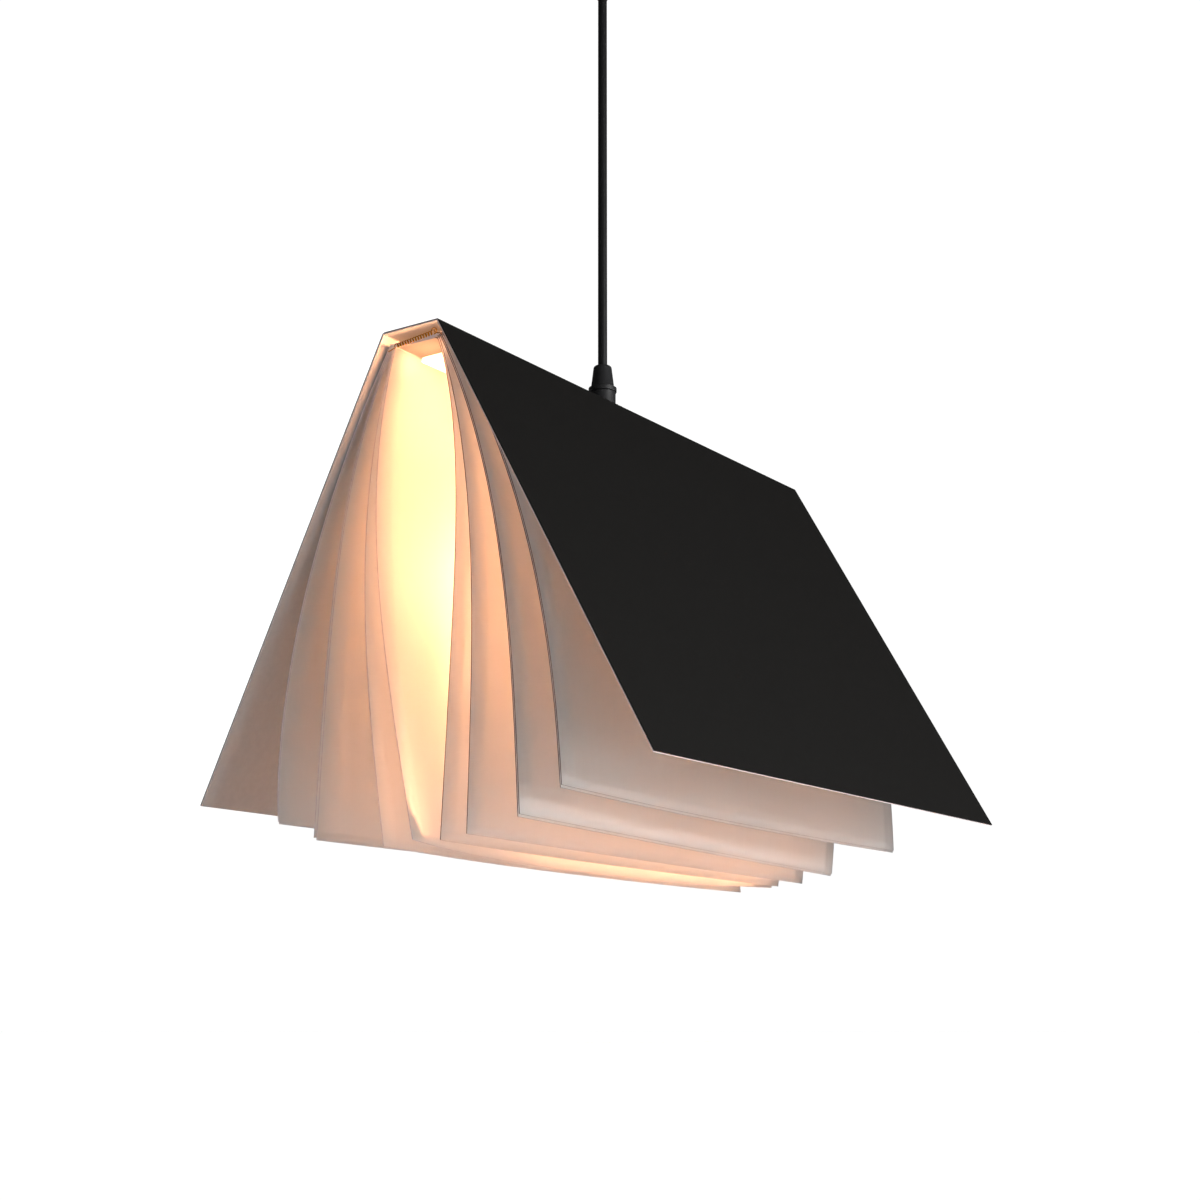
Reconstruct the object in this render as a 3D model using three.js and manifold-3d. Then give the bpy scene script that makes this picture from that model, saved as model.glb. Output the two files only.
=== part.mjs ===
// Pendant light in the shape of an open book: a black cover and six folded translucent sheets hang
// by their spine from a cord, and one bulb shines between the two innermost pages.
// Millimetres and degrees, +Z up. The origin is the middle of the ceiling bracket's top face, where
// the light is screwed to the ceiling. X runs across the book, and Y along its spine, away from the
// viewer.

import * as THREE from "three";
import { mergeVertices } from "three/addons/utils/BufferGeometryUtils.js";
import Module from "manifold-3d";

const wasm = await Module();
wasm.setup();

// Clearances that many pieces share
const FIT = 0.3;
const OVERRUN = 4;

// Cord, and how far the spine's top hangs below the ceiling
const DROP = 368;
const CORD_DIAMETER = 6.1;
const CORD_SIDES = 10;
const CORE_DIAMETER = 2.2;
const SWING_GAP = 0.8;

// Ceiling fitting
const CANOPY_DIAMETER = 100;
const CANOPY_DEPTH = 28;
const CANOPY_WALL = 1.2;
const CANOPY_CORNER = 5;
const BRACKET_WIDTH = 20;
const BRACKET_THICKNESS = 1.5;
const BRACKET_TAB = 14;
const TAB_CLEARANCE = 2;
const SLOT_LENGTH = 8;
const SLOT_WIDTH = 4.6;
const SLOT_PLACE = 37;
const SIDE_SCREW_DIAMETER = 4;
const SIDE_SCREW_LENGTH = 8;
const SIDE_SCREW_HEAD_DIAMETER = 8;
const SIDE_SCREW_HEAD = 2.6;
const SIDE_SCREW_DEPTH = 8;
const SCREW_RIM_SHARE = 2 / 3;
const SCREW_TOP_SHARE = 0.75;
const TERMINAL_LENGTH = 20;
const TERMINAL_WIDTH = 16;
const TERMINAL_HEIGHT = 12;
const TERMINAL_PLACE = 20;
const TERMINAL_BORE = 3.4;
const TERMINAL_PITCH = 8;
const CORE_START_SHARE = 0.6;
const CORE_RISE_SHARE = 0.7;
const CORE_BEND_SHARE = 2 / 3;
const CORE_INSIDE_SHARE = 0.2;
const GRIP_THREAD = 10;
const GRIP_THREAD_LENGTH = 9;
const GRIP_FLANGE = 16;
const GRIP_FLANGE_HEIGHT = 3;
const GRIP_CONE = 25;
const GRIP_MOUTH = 10;
const GRIP_SHOULDER_SHARE = 0.88;
const GRIP_NUT_WIDTH = 15;
const GRIP_NUT_HEIGHT = 4;
const BOOT_LENGTH = 9.2;
const BOOT_DIAMETER = 9.4;
const BOOT_MOUTH_SHARE = 1.24;
const BOOT_BULGE_SHARE = 0.75;

// Gland on top of the spine
const NECK_DIAMETER = 17.2;
const NECK_HEIGHT = 15.2;
const NECK_BORE = 10;
const COLLAR_DIAMETER = 18.5;
const COLLAR_HEIGHT = 3.2;
const CONE_DIAMETER = 15.4;
const CONE_TOP_DIAMETER = 12.1;
const CONE_HEIGHT = 15.2;
const CONE_EDGE = 1.6;
const LOCK_NUT_DIAMETER = 27;
const LOCK_NUT_HEIGHT = 4.4;
const LOCK_NUT_NOTCHES = 8;
const LOCK_NUT_NOTCH = 3;

// Cover: one sheet, folded at both sides of its spine
const COVER_DEPTH = 420;
const COVER_SPINE = 40.9;
const COVER_FLAP = 296;
const COVER_THICKNESS = 1.2;
const RIGHT_LEAN_DEGREES = 29.1;
const LEFT_LEAN_DEGREES = 26.4;
const LEFT_FOLD_RADIUS = 2.5;
const CORD_AHEAD = 14.5;

// Pages: six nested sheets, each folded into a strip and two leaves
const COVER_OVERHANG = 6;
const PAGE_DEPTH = COVER_DEPTH - 2 * COVER_OVERHANG;
const PAGE_THICKNESS = 0.5;
const PAGE_LEAF = 290;
const INNER_HALF_WIDTH = 15.6;
const NEST_SPREAD = 0.8;
const CREASE_GAP = 0.4;
const LEAF_ROWS = 10;
const LEAF_COLUMNS = 6;
const ROW_CROWDING = 1.4;
const BEND_PARTS = 60;

// Spacer above the sheets and plate below them
const SPACER_HEIGHT = 4.4;
const SPACER_DIAMETER = 27;
const PLATE_INSET = 21;
const PLATE_LENGTH = PAGE_DEPTH - 2 * PLATE_INSET;
const PLATE_SIDE_CLEARANCE = 0.4;
const PLATE_WIDTH = 2 * (INNER_HALF_WIDTH - PLATE_SIDE_CLEARANCE);
const PLATE_THICKNESS = 2;
const PLATE_CORNER = 3;

// Binding springs across both ends of the stack
const SPRING_WIRE = 0.6;
const SPRING_DIAMETER = 2.8;
const SPRING_PITCH = 1.9;
const SPRING_CURLS = 14;
const SPRING_INSET = 1.2;
const SPRING_RISE = 2.4;
const SPRING_RING = 4.4;
const RING_TURN_SHARE = 0.75;
const CURL_STEPS = 8;
const RING_STEPS = 12;
const WIRE_SIDES = 5;

// Lampholder: a cap on a threaded neck, a sleeve, and an insert with the contacts
const HOLDER_DIAMETER = 34;
const HOLDER_LENGTH = 49.4;
const HOLDER_WALL = 1.4;
const HOLDER_RIM = 2;
const HOLDER_RIBS = 20;
const CAP_TOP_DIAMETER = 24;
const CAP_SHOULDER = 14;
const CAP_SKIRT = 6;
const INSERT_HEIGHT = 9;
const INSERT_DEPTH = 21;
const SOCKET_TURNS = 7;
const SHELL_THICKNESS = 0.6;
const TONGUE_LENGTH = 22;
const TONGUE_WIDTH = 6;
const TONGUE_THICKNESS = 0.5;

// Bulb with a screw cap
const CAP_THREAD = 26;
const CAP_TURNS = 5;
const THREAD_PITCH = 3.6;
const THREAD_DEPTH = 0.8;
const THREAD_SEGMENTS = 20;
const CAP_THICKNESS = 0.5;
const CAP_COLLAR = 3.4;
const GLOBE_DIAMETER = 45;
const GLOBE_LENGTH = 52;
const GLOBE_WALL = 1;
const GLOBE_NECK = 23.4;
const INSULATOR_DIAMETER = 18;
const INSULATOR_HEIGHT = 3.2;
const TIP_DIAMETER = 9;
const TIP_HEIGHT = 1.4;

const DEGREE = Math.PI / 180;
const TURN = 2 * Math.PI;

const spineTop = -DROP;
const stackTop = -COVER_THICKNESS - SPACER_HEIGHT;

// The leaves from the innermost pair to the outermost. Each hangs from its crease at a root angle
// from the vertical and ends at a tip angle, given at its front, its middle and its back. The fade
// is the power by which its lean goes from the one to the other.
const rightLeaves = [
  { rootDegrees: 20.6, fade: 4.1, tipDegrees: [-2.8, -7.8, -8.3], lengthShare: 0.993 },
  { rootDegrees: 20.8, fade: 2.4, tipDegrees: [-1.3, -4.2, -7.1], lengthShare: 0.991 },
  { rootDegrees: 28.1, fade: 1.85, tipDegrees: [3.2, -1.5, -6.6], lengthShare: 0.988 },
  { rootDegrees: 28.1, fade: 1.85, tipDegrees: [3.3, -1.4, -6.5], lengthShare: 0.985 },
  { rootDegrees: 34.4, fade: 1.24, tipDegrees: [4.0, 0.4, 0.2], lengthShare: 0.973 },
  { rootDegrees: 34.4, fade: 1.24, tipDegrees: [4.1, 0.5, 0.3], lengthShare: 0.97 },
];
const leftLeaves = [
  { rootDegrees: 17.4, fade: 2.4, tipDegrees: [-13.1, -4.4, -10.8], lengthShare: 0.997 },
  { rootDegrees: 18.4, fade: 1.9, tipDegrees: [-10.0, -4.0, -6.0], lengthShare: 1.004 },
  { rootDegrees: 29.4, fade: 2.7, tipDegrees: [2.2, 2.4, 2.2], lengthShare: 0.997 },
  { rootDegrees: 29.4, fade: 2.7, tipDegrees: [2.6, 2.8, 2.6], lengthShare: 0.994 },
  { rootDegrees: 30.5, fade: 0.66, tipDegrees: [-7.6, -9.6, -9.2], lengthShare: 0.99 },
  { rootDegrees: 30.5, fade: 0.66, tipDegrees: [-7.4, -9.4, -9.0], lengthShare: 0.987 },
];
const SHEETS = rightLeaves.length;

function finish(colour, roughness, metalness = 0, extras = {}) {
  return new THREE.MeshStandardMaterial({ color: colour, roughness, metalness, ...extras });
}

const blackCoat = finish(0x1b1a1a, 0.55);
const blackPlastic = finish(0x161616, 0.4);
const blackRubber = finish(0x121212, 0.6);
const coverSheet = finish(0x211f1d, 0.6);
const frosted = finish(0xf1e4da, 0.7, 0, { transparent: true, opacity: 0.75 });
const zincSteel = finish(0xb8bcc0, 0.35, 1);
const brass = finish(0xc9a04e, 0.3, 1);
const whitePaint = finish(0xf0ece4, 0.5);
const creamCeramic = finish(0xe9e2d2, 0.45);
const brownCore = finish(0x5b3420, 0.5);
const blueCore = finish(0x2a4d8f, 0.5);
const opalGlass = finish(0xfff4dc, 0.25);

// Geometry helpers

function solidOf(geometry) {
  const bare = geometry.clone();
  bare.deleteAttribute("normal");
  bare.deleteAttribute("uv");
  const merged = mergeVertices(bare);
  return new wasm.Manifold(
    new wasm.Mesh({
      numProp: 3,
      vertProperties: new Float32Array(merged.attributes.position.array),
      triVerts: new Uint32Array(merged.index.array),
    }),
  );
}

function geometryOf(solid) {
  const { vertProperties, triVerts } = solid.getMesh();
  const geometry = new THREE.BufferGeometry();
  geometry.setAttribute("position", new THREE.BufferAttribute(vertProperties, 3));
  geometry.setIndex(new THREE.BufferAttribute(triVerts, 1));
  geometry.computeVertexNormals();
  return geometry;
}

function cut(geometry, ...tools) {
  return geometryOf(tools.reduce((left, tool) => left.subtract(solidOf(tool)), solidOf(geometry)));
}

// A revolved profile of [radius, height] pairs, upright
function turned(profile, segments = 32) {
  const points = profile.map(([radius, height]) => new THREE.Vector2(radius, height));
  return new THREE.LatheGeometry(points, segments).rotateX(Math.PI / 2);
}

// A tube or disc between two heights
function ring(outer, inner, bottom, top, segments = 32) {
  return turned(
    [
      [inner, bottom],
      [outer, bottom],
      [outer, top],
      [inner, top],
      [inner, bottom],
    ],
    segments,
  );
}

// A solid pin standing at a place
function pin(radius, bottom, top, x = 0, y = 0, segments = 16) {
  const height = top - bottom;
  return new THREE.CylinderGeometry(radius, radius, height, segments)
    .rotateX(Math.PI / 2)
    .translate(x, y, bottom + height / 2);
}

function block(width, depth, height, x, y, z) {
  return new THREE.BoxGeometry(width, depth, height).translate(x, y, z);
}

// An outline in X and Z, run along Y and centred there
function along(outline, depth) {
  const shape = new THREE.Shape(outline.map(([x, z]) => new THREE.Vector2(x, z)));
  return new THREE.ExtrudeGeometry(shape, { depth, bevelEnabled: false })
    .rotateX(Math.PI / 2)
    .translate(0, depth / 2, 0);
}

function wire(points, diameter, sides, steps) {
  const section = new THREE.Shape(
    Array.from({ length: sides }, (_, i) => {
      const angle = (i * TURN) / sides;
      return new THREE.Vector2(Math.cos(angle), Math.sin(angle)).multiplyScalar(diameter / 2);
    }),
  );
  const path = new THREE.CatmullRomCurve3(points, false, "centripetal");
  return new THREE.ExtrudeGeometry(section, { steps, extrudePath: path, bevelEnabled: false });
}

const light = new THREE.Group();
const lamp = new THREE.Group();
const book = new THREE.Group();
lamp.position.z = spineTop;
book.position.y = CORD_AHEAD;
light.add(lamp);
lamp.add(book);

function add(parent, name, geometry, material) {
  const mesh = new THREE.Mesh(geometry, material);
  mesh.name = name;
  parent.add(mesh);
  return mesh;
}

// Ceiling fitting

const canopyRadius = CANOPY_DIAMETER / 2;
const canopyFloor = -CANOPY_DEPTH + CANOPY_WALL;
const tabOuter = canopyRadius - CANOPY_WALL - TAB_CLEARANCE;
const sideScrewRadius = SIDE_SCREW_DIAMETER / 2;
const gripTop = -CANOPY_DEPTH + GRIP_THREAD_LENGTH;
const flangeTop = -CANOPY_DEPTH - FIT;
const flangeBottom = flangeTop - GRIP_FLANGE_HEIGHT;
const gripBottom = flangeBottom - GRIP_CONE;
const cordBore = CORD_DIAMETER / 2 + FIT;

function sideHole(x) {
  return new THREE.CylinderGeometry(sideScrewRadius + FIT, sideScrewRadius + FIT, 2 * OVERRUN, 16)
    .rotateZ(Math.PI / 2)
    .translate(x, 0, -SIDE_SCREW_DEPTH);
}

function ceilingBracket() {
  const inner = tabOuter - BRACKET_THICKNESS;
  const strap = along(
    [
      [-tabOuter, -BRACKET_TAB],
      [-inner, -BRACKET_TAB],
      [-inner, -BRACKET_THICKNESS],
      [inner, -BRACKET_THICKNESS],
      [inner, -BRACKET_TAB],
      [tabOuter, -BRACKET_TAB],
      [tabOuter, 0],
      [-tabOuter, 0],
    ],
    BRACKET_WIDTH,
  );
  const slots = [-1, 1].flatMap((side) => {
    const run = SLOT_LENGTH - SLOT_WIDTH;
    const middle = side * SLOT_PLACE;
    const ends = [-1, 1].map((end) =>
      pin(SLOT_WIDTH / 2, -BRACKET_THICKNESS - OVERRUN, OVERRUN, middle + (end * run) / 2),
    );
    return [block(run, SLOT_WIDTH, 2 * OVERRUN, middle, 0, 0), ...ends];
  });
  const holes = [-1, 1].map((side) => sideHole(side * tabOuter));
  return cut(strap, ...slots, ...holes);
}

function canopyCup() {
  const corner = (radius, steps = 3) =>
    Array.from({ length: steps + 1 }, (_, i) => {
      const angle = (i * Math.PI) / 2 / steps;
      const centre = [canopyRadius - CANOPY_CORNER, -CANOPY_DEPTH + CANOPY_CORNER];
      return [centre[0] + radius * Math.sin(angle), centre[1] - radius * Math.cos(angle)];
    });
  const hole = GRIP_THREAD / 2 + FIT;
  const cup = turned(
    [
      [hole, -CANOPY_DEPTH],
      ...corner(CANOPY_CORNER),
      [canopyRadius, -FIT],
      [canopyRadius - CANOPY_WALL, -FIT],
      ...corner(CANOPY_CORNER - CANOPY_WALL).reverse(),
      [hole, canopyFloor],
      [hole, -CANOPY_DEPTH],
    ],
    40,
  );
  return cut(cup, sideHole(canopyRadius), sideHole(-canopyRadius));
}

function sideScrew(side) {
  const headInner = canopyRadius + FIT;
  const headOuter = headInner + SIDE_SCREW_HEAD;
  const tip = headInner - SIDE_SCREW_LENGTH;
  const head = SIDE_SCREW_HEAD_DIAMETER / 2;
  const screw = turned(
    [
      [0, tip],
      [sideScrewRadius, tip],
      [sideScrewRadius, headInner],
      [head, headInner],
      [head, headInner + SCREW_RIM_SHARE * SIDE_SCREW_HEAD],
      [SCREW_TOP_SHARE * head, headOuter],
      [0, headOuter],
    ],
    16,
  );
  return screw.rotateY((side * Math.PI) / 2).translate(0, 0, -SIDE_SCREW_DEPTH);
}

function terminalBlock() {
  const top = -BRACKET_THICKNESS - FIT;
  const middle = top - TERMINAL_HEIGHT / 2;
  const body = block(
    TERMINAL_LENGTH, TERMINAL_WIDTH, TERMINAL_HEIGHT, TERMINAL_PLACE, 0, middle,
  );
  const bores = [-1, 1].map((side) =>
    new THREE.CylinderGeometry(TERMINAL_BORE / 2, TERMINAL_BORE / 2, TERMINAL_LENGTH / 2, 12)
      .rotateZ(Math.PI / 2)
      .translate(TERMINAL_PLACE - TERMINAL_LENGTH / 2, (side * TERMINAL_PITCH) / 2, middle),
  );
  return cut(body, ...bores);
}

function gripNut() {
  const bottom = canopyFloor + FIT;
  const corner = GRIP_NUT_WIDTH / 2 / Math.cos(Math.PI / 6);
  const hexagon = pin(corner, bottom, bottom + GRIP_NUT_HEIGHT, 0, 0, 6);
  return cut(hexagon, pin(GRIP_THREAD / 2 + FIT, bottom - OVERRUN, bottom + 2 * OVERRUN, 0, 0, 24));
}

// A core rises beside its neighbour, bends over and ends in its bore of the block
function canopyCore(side) {
  const start = gripTop + CORE_DIAMETER;
  const blockFace = TERMINAL_PLACE - TERMINAL_LENGTH / 2;
  const height = -BRACKET_THICKNESS - FIT - TERMINAL_HEIGHT / 2;
  const bore = TERMINAL_PITCH / 2;
  const points = [
    [0, CORE_START_SHARE * CORE_DIAMETER, start],
    [0, CORE_RISE_SHARE * CORE_DIAMETER, start + CORE_DIAMETER],
    [CORE_DIAMETER, CORE_BEND_SHARE * bore, height - CORE_DIAMETER / 2],
    [blockFace - CORE_DIAMETER, bore, height],
    [blockFace + CORE_INSIDE_SHARE * TERMINAL_LENGTH, bore, height],
  ].map(([x, y, z]) => new THREE.Vector3(x, side * y, z));
  return wire(points, CORE_DIAMETER, 8, 10);
}

add(light, "ceiling_bracket", ceilingBracket(), zincSteel);
add(light, "canopy_cup", canopyCup(), blackCoat);
add(light, "canopy_screw_right", sideScrew(1), zincSteel);
add(light, "canopy_screw_left", sideScrew(-1), zincSteel);
add(light, "terminal_block", terminalBlock(), creamCeramic);
add(light, "canopy_core_brown", canopyCore(1), brownCore);
add(light, "canopy_core_blue", canopyCore(-1), blueCore);
add(
  light,
  "canopy_grip",
  turned(
    [
      [cordBore, gripBottom],
      [GRIP_MOUTH / 2, gripBottom],
      [(GRIP_SHOULDER_SHARE * GRIP_FLANGE) / 2, flangeBottom],
      [GRIP_FLANGE / 2, flangeBottom],
      [GRIP_FLANGE / 2, flangeTop],
      [GRIP_THREAD / 2, flangeTop],
      [GRIP_THREAD / 2, gripTop],
      [cordBore, gripTop],
      [cordBore, gripBottom],
    ],
    24,
  ),
  blackPlastic,
);
add(light, "canopy_grip_nut", gripNut(), blackPlastic);
add(
  light,
  "canopy_cord_tail",
  pin(CORD_DIAMETER / 2, gripBottom + FIT, gripTop + FIT, 0, 0, CORD_SIDES),
  blackRubber,
);

// Cord with the flexible boot that it swings on

const bootTop = gripBottom - SWING_GAP;
const bootBottom = bootTop - BOOT_LENGTH;
const cordTop = bootBottom - SWING_GAP;
const coneTop = spineTop + NECK_HEIGHT + COLLAR_HEIGHT + CONE_HEIGHT;
const cordBottom = coneTop + FIT;

add(
  light,
  "cord_boot",
  turned(
    [
      [0, bootBottom],
      [(BOOT_MOUTH_SHARE * CORD_DIAMETER) / 2, bootBottom],
      [BOOT_DIAMETER / 2, bootBottom + BOOT_BULGE_SHARE * BOOT_LENGTH],
      [CORD_DIAMETER / 2, bootTop],
      [0, bootTop],
    ],
    20,
  ),
  blackRubber,
);

// The cord hangs straight, from the boot to the gland
const cordRoute = [
  [0, 0, cordTop],
  [0, 0, -84], [0, 0, -102], [0, 0, -120], [0, 0, -138], [0, 0, -156],
  [0, 0, -174], [0, 0, -192], [0, 0, -210], [0, 0, -228], [0, 0, -246],
  [0, 0, -264], [0, 0, -282], [0, 0, -300], [0, 0, -318],
  [0, 0, cordBottom],
].map((place) => new THREE.Vector3(...place));

add(light, "supply_cord", wire(cordRoute, CORD_DIAMETER, CORD_SIDES, 15), blackRubber);

// Gland and lock nut on the spine

const neckRadius = NECK_DIAMETER / 2;
const neckHole = neckRadius + FIT;
const plateTop = stackTop - SHEETS * PAGE_THICKNESS;
const plateBottom = plateTop - PLATE_THICKNESS;

function gripCone() {
  const bottom = NECK_HEIGHT + FIT;
  const collarTop = NECK_HEIGHT + COLLAR_HEIGHT;
  const top = collarTop + CONE_HEIGHT;
  const radius = CONE_TOP_DIAMETER / 2;
  const rounding = [0, 1, 2, 3].map((i) => {
    const angle = (i * Math.PI) / 6;
    return [
      radius - CONE_EDGE + CONE_EDGE * Math.cos(angle),
      top - CONE_EDGE + CONE_EDGE * Math.sin(angle),
    ];
  });
  return turned([
    [cordBore, bottom],
    [COLLAR_DIAMETER / 2, bottom],
    [COLLAR_DIAMETER / 2, collarTop],
    [CONE_DIAMETER / 2, collarTop],
    ...rounding,
    [cordBore, top],
    [cordBore, bottom],
  ]);
}

function lockNut() {
  const radius = LOCK_NUT_DIAMETER / 2;
  const nut = ring(radius, neckHole, 0, LOCK_NUT_HEIGHT);
  const notches = Array.from({ length: LOCK_NUT_NOTCHES }, (_, i) =>
    block(LOCK_NUT_NOTCH, LOCK_NUT_NOTCH, 2 * LOCK_NUT_HEIGHT + OVERRUN, radius, 0, 0)
      .rotateZ((i * TURN) / LOCK_NUT_NOTCHES),
  );
  return cut(nut, ...notches);
}

add(lamp, "cord_grip_cone", gripCone(), blackPlastic);
add(lamp, "lock_nut", lockNut(), blackPlastic);
add(
  lamp,
  "spacer_ring",
  ring(SPACER_DIAMETER / 2, neckHole, stackTop, -COVER_THICKNESS),
  whitePaint,
);

// Cover

// The outer and inner points of the cover's fold, where the spine piece and a flap divide it
function fold(lean, radius) {
  const bend = (90 - lean) * DEGREE;
  const half = COVER_SPINE / 2;
  if (!radius) {
    const setBack = COVER_THICKNESS * Math.tan(bend / 2);
    return { outer: [half, 0], inner: [half - setBack, -COVER_THICKNESS], arc: [], bend, half };
  }
  const start = half - radius * Math.tan(bend / 2);
  const at = (angle, r) => [start + r * Math.sin(angle), -radius + r * Math.cos(angle)];
  const inside = radius - COVER_THICKNESS;
  const quarter = bend / 4;
  return {
    outer: at(bend / 2, radius),
    inner: at(bend / 2, inside),
    arc: [0, quarter].map((angle) => [at(angle, radius), at(angle, inside)]),
    after: [3 * quarter, bend].map((angle) => [at(angle, radius), at(angle, inside)]),
    bend,
    half,
    radius,
  };
}

const rightFold = fold(RIGHT_LEAN_DEGREES, 0);
const leftFold = fold(LEFT_LEAN_DEGREES, LEFT_FOLD_RADIUS);

function shifted([x, z], angle, distance) {
  return [x + distance * Math.cos(angle), z - distance * Math.sin(angle)];
}

function spineOutline() {
  const right = [shifted(rightFold.outer, 0, -FIT / 2), shifted(rightFold.inner, 0, -FIT / 2)];
  const middle = leftFold.bend / 2;
  const left = [
    ...leftFold.arc,
    [shifted(leftFold.outer, middle, -FIT / 2), shifted(leftFold.inner, middle, -FIT / 2)],
  ].map((pair) => pair.map(([x, z]) => [-x, z]));
  return [
    right[0],
    ...left.map(([outer]) => outer),
    ...left.map(([, inner]) => inner).reverse(),
    right[1],
  ];
}

function flapOutline(side, lean) {
  const { outer, inner, after = [], bend, half, radius = 0 } = side;
  const start = radius ? bend / 2 : bend;
  const down = [Math.sin(lean * DEGREE), -Math.cos(lean * DEGREE)];
  const inward = [-Math.cos(lean * DEGREE), -Math.sin(lean * DEGREE)];
  const end = [half + COVER_FLAP * down[0], COVER_FLAP * down[1]];
  const endInner = [end[0] + COVER_THICKNESS * inward[0], end[1] + COVER_THICKNESS * inward[1]];
  return [
    shifted(outer, start, FIT / 2),
    ...after.map(([point]) => point),
    end,
    endInner,
    ...after.map(([, point]) => point).reverse(),
    shifted(inner, start, FIT / 2),
  ];
}

const rightFlap = flapOutline(rightFold, RIGHT_LEAN_DEGREES);
const leftFlap = flapOutline(leftFold, LEFT_LEAN_DEGREES).map(([x, z]) => [-x, z]);

const spineSheet = along(spineOutline(), COVER_DEPTH);
const neckCut = pin(neckHole, -COVER_THICKNESS - OVERRUN, OVERRUN, 0, -CORD_AHEAD, 32);

add(book, "cover_spine", cut(spineSheet, neckCut), coverSheet);
add(book, "cover_flap_right", along(rightFlap, COVER_DEPTH), coverSheet);
add(book, "cover_flap_left", along(leftFlap, COVER_DEPTH), coverSheet);

// Pages

const stackHole = pin(neckHole, plateTop - OVERRUN, stackTop + OVERRUN, 0, -CORD_AHEAD, 24);

function crease(index) {
  return {
    x: INNER_HALF_WIDTH + index * NEST_SPREAD,
    z: plateTop + (index + 0.5) * PAGE_THICKNESS,
  };
}

function pageStrip(index) {
  const { x, z } = crease(index);
  const strip = block(2 * x - CREASE_GAP, PAGE_DEPTH, PAGE_THICKNESS, 0, 0, z);
  return cut(strip, stackHole);
}

// The angle from the vertical where the leaf ends, at a share of its depth from front to back
function tipAngle([front, middle, back], across) {
  return (
    front * (1 - across) * (1 - 2 * across) +
    middle * 4 * across * (1 - across) +
    back * across * (2 * across - 1)
  );
}

// The place and lean of a leaf at a share of its length and of its depth
function leafPlace(leaf, length, share, across) {
  const tip = tipAngle(leaf.tipDegrees, across);
  const { rootDegrees: root, fade } = leaf;
  const lean = (part) => (tip + (root - tip) * (1 - part) ** fade) * DEGREE;
  const step = (share * length) / BEND_PARTS;
  let x = 0;
  let z = 0;
  for (let i = 0; i < BEND_PARTS; i += 1) {
    const angle = lean((share * (i + 0.5)) / BEND_PARTS);
    x += step * Math.sin(angle);
    z -= step * Math.cos(angle);
  }
  return { x, z, lean: lean(share) };
}

// A closed sheet over a grid: pointAt gives a point of its inner or outer face, at shares of its
// length and depth. Both faces divide each cell along the same diagonal, so the sheet stays even.
function bentSheet(rows, columns, pointAt) {
  const places = [];
  const faces = [];
  const corner = (i, j, face) => 2 * (i * (columns + 1) + j) + face;
  for (let i = 0; i <= rows; i += 1) {
    for (let j = 0; j <= columns; j += 1) {
      places.push(...pointAt(i / rows, j / columns, -1), ...pointAt(i / rows, j / columns, 1));
    }
  }
  const quad = (a, b, c, d) => faces.push(a, b, c, a, c, d);
  for (let i = 0; i < rows; i += 1) {
    for (let j = 0; j < columns; j += 1) {
      const [a, b, c, d] = [[i, j], [i + 1, j], [i + 1, j + 1], [i, j + 1]];
      quad(corner(...a, 1), corner(...b, 1), corner(...c, 1), corner(...d, 1));
      faces.push(corner(...a, 0), corner(...c, 0), corner(...b, 0));
      faces.push(corner(...a, 0), corner(...d, 0), corner(...c, 0));
    }
  }
  const rim = [
    ...Array.from({ length: rows }, (_, i) => [i, 0]),
    ...Array.from({ length: columns }, (_, j) => [rows, j]),
    ...Array.from({ length: rows }, (_, i) => [rows - i, columns]),
    ...Array.from({ length: columns }, (_, j) => [0, columns - j]),
  ];
  rim.forEach((here, k) => {
    const next = rim[(k + 1) % rim.length];
    quad(corner(...here, 0), corner(...next, 0), corner(...next, 1), corner(...here, 1));
  });
  const geometry = new THREE.BufferGeometry();
  geometry.setAttribute("position", new THREE.Float32BufferAttribute(places, 3));
  geometry.setIndex(faces);
  geometry.computeVertexNormals();
  return geometry;
}

// A leaf, with its steps closer near the crease
function pageLeaf(leaf, index, side) {
  const length = PAGE_LEAF * leaf.lengthShare;
  const start = CREASE_GAP / length;
  const root = crease(index);
  return bentSheet(LEAF_ROWS, LEAF_COLUMNS, (down, back, face) => {
    const across = side > 0 ? back : 1 - back;
    const at = leafPlace(leaf, length, start + (1 - start) * down ** ROW_CROWDING, across);
    const offset = (face * PAGE_THICKNESS) / 2;
    return [
      side * (root.x + at.x + offset * Math.cos(at.lean)),
      (across - 0.5) * PAGE_DEPTH,
      root.z + at.z + offset * Math.sin(at.lean),
    ];
  });
}

for (let index = 0; index < SHEETS; index += 1) {
  const number = index + 1;
  add(book, `page_strip_${number}`, pageStrip(index), frosted);
  add(book, `leaf_right_${number}`, pageLeaf(rightLeaves[index], index, 1), frosted);
  add(book, `leaf_left_${number}`, pageLeaf(leftLeaves[index], index, -1), frosted);
}

// Plate under the stack

function supportPlate() {
  const half = PLATE_WIDTH / 2;
  const outline = new THREE.Shape();
  const end = PLATE_LENGTH / 2;
  const corner = PLATE_CORNER;
  outline.moveTo(half - corner, -end);
  outline.absarc(half - corner, -end + corner, corner, -Math.PI / 2, 0);
  outline.absarc(half - corner, end - corner, corner, 0, Math.PI / 2);
  outline.absarc(-half + corner, end - corner, corner, Math.PI / 2, Math.PI);
  outline.absarc(-half + corner, -end + corner, corner, Math.PI, 1.5 * Math.PI);
  const hole = new THREE.Path();
  hole.absarc(0, -CORD_AHEAD, neckHole, 0, TURN, true);
  outline.holes.push(hole);
  return new THREE.ExtrudeGeometry(outline, {
    depth: PLATE_THICKNESS,
    bevelEnabled: false,
    curveSegments: 8,
  }).translate(0, 0, plateBottom);
}

add(book, "support_plate", supportPlate(), whitePaint);

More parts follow.
